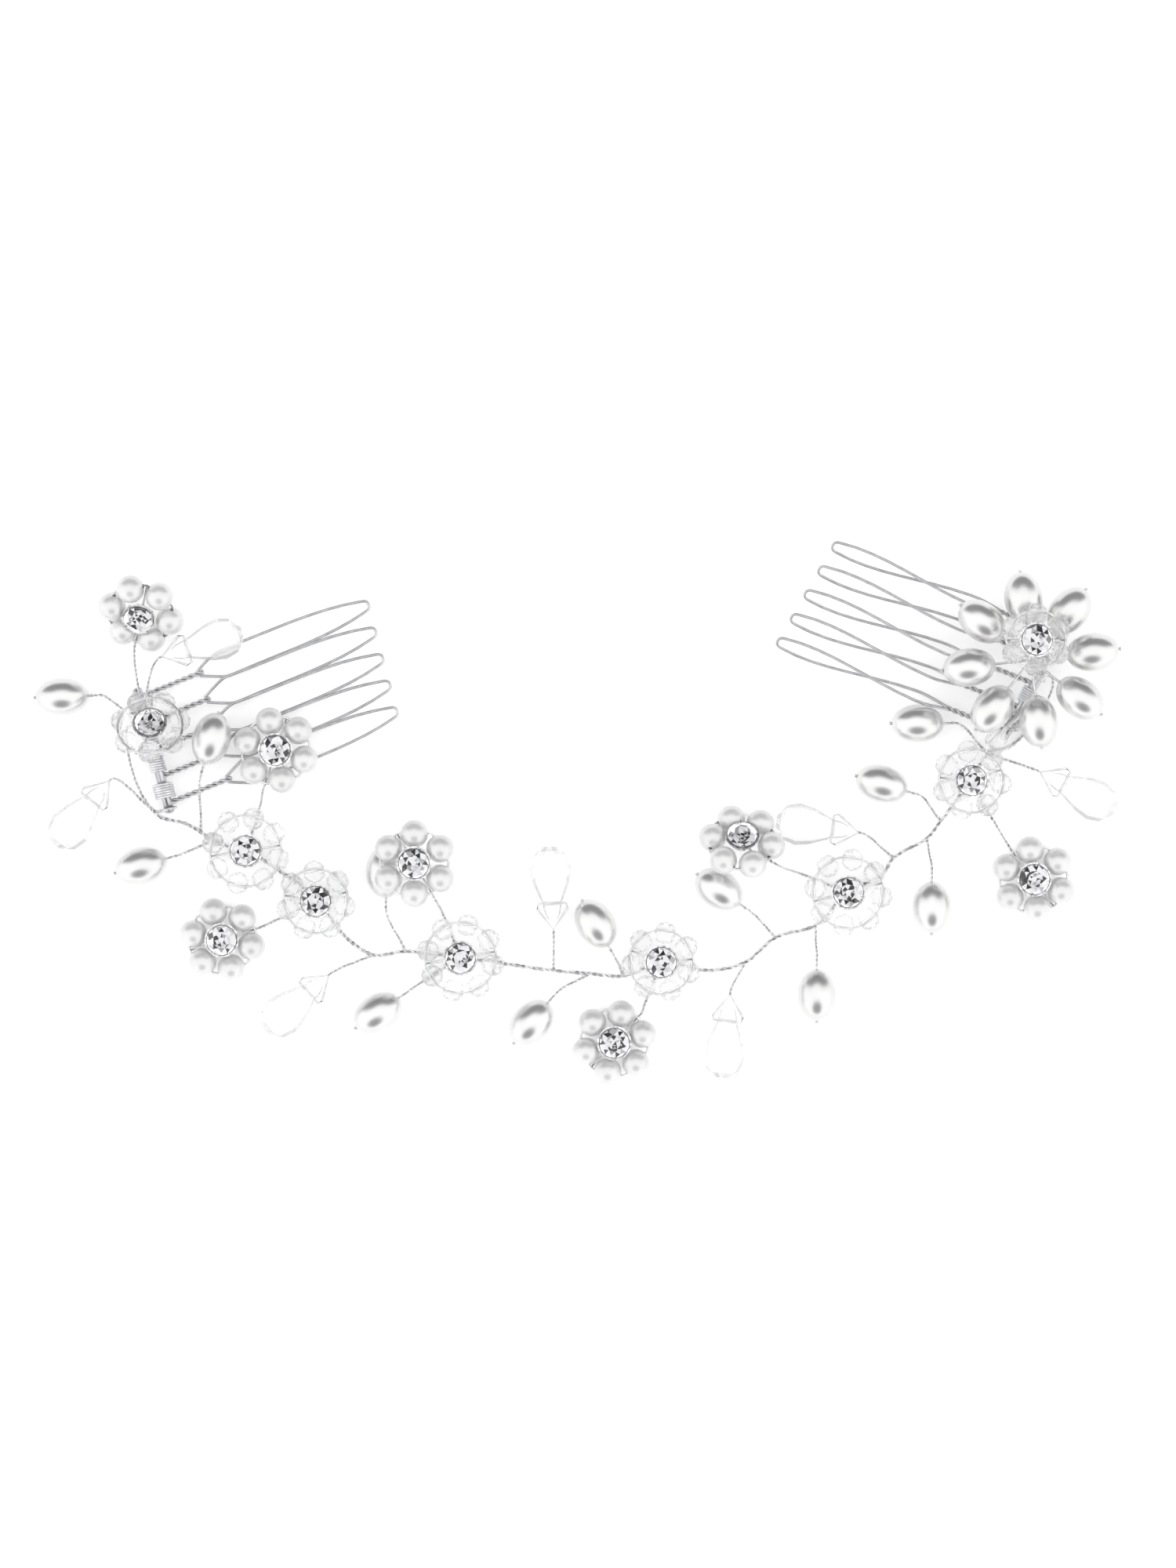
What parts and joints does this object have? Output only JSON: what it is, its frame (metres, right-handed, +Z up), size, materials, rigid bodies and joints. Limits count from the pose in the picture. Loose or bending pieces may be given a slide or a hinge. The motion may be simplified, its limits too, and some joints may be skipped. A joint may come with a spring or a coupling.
{
  "type": "hair vine",
  "caption": "Bridal hair vine of silver twisted wire with pearl sprigs, pearl and crystal bead flowers, clear glass drops and a wire comb at each end.",
  "frame": {"origin": "middle of the whole part's bounding box in X and Y, on the surface it lies on (Z = 0)", "axes": "+X along the vine towards the end with the large flower, +Y towards the combs' side (up in the picture), +Z up out of the surface"},
  "size_m": [0.1792, 0.0898, 0.0188],
  "materials": {
    "silver_wire": "bright silver plated wire, twisted",
    "pearl": "white pearl lustre",
    "crystal": "clear faceted",
    "drop_glass": "clear faceted, frosted light",
    "stone": "clear faceted, foil backed"
  },
  "bodies": {
    "root": {"vine_wire": "silver_wire", "comb_left": "silver_wire", "comb_right": "silver_wire", "bar_wrap_left": "silver_wire", "bar_wrap_right": "silver_wire", "stone_cups": "silver_wire", "oval_pearl_1": "pearl", "oval_pearl_2": "pearl", "oval_pearl_3": "pearl", "oval_pearl_4": "pearl", "oval_pearl_5": "pearl", "oval_pearl_6": "pearl", "oval_pearl_7": "pearl", "oval_pearl_8": "pearl", "oval_pearl_9": "pearl", "oval_pearl_10": "pearl", "oval_pearl_11": "pearl", "oval_pearl_12": "pearl", "pearl_flower_1": "pearl", "pearl_flower_2": "pearl", "pearl_flower_3": "pearl", "pearl_flower_4": "pearl", "pearl_flower_5": "pearl", "pearl_flower_6": "pearl", "pearl_flower_7": "pearl", "large_flower_petals": "pearl", "crystal_flower_1": "crystal", "crystal_flower_2": "crystal", "crystal_flower_3": "crystal", "crystal_flower_4": "crystal", "crystal_flower_5": "crystal", "crystal_flower_6": "crystal", "bar_flower_crystals": "crystal", "top_flower_crystals": "crystal", "end_crystals": "crystal", "glass_drop_1": "drop_glass", "glass_drop_2": "drop_glass", "glass_drop_3": "drop_glass", "glass_drop_4": "drop_glass", "glass_drop_5": "drop_glass", "glass_drop_6": "drop_glass", "glass_drop_7": "drop_glass", "pearl_flower_stone_1": "stone", "pearl_flower_stone_2": "stone", "pearl_flower_stone_3": "stone", "pearl_flower_stone_4": "stone", "pearl_flower_stone_5": "stone", "pearl_flower_stone_6": "stone", "pearl_flower_stone_7": "stone", "crystal_flower_stone_1": "stone", "crystal_flower_stone_2": "stone", "crystal_flower_stone_3": "stone", "crystal_flower_stone_4": "stone", "crystal_flower_stone_5": "stone", "crystal_flower_stone_6": "stone", "bar_flower_stone": "stone", "top_flower_stone": "stone"}
  },
  "joints": []
}
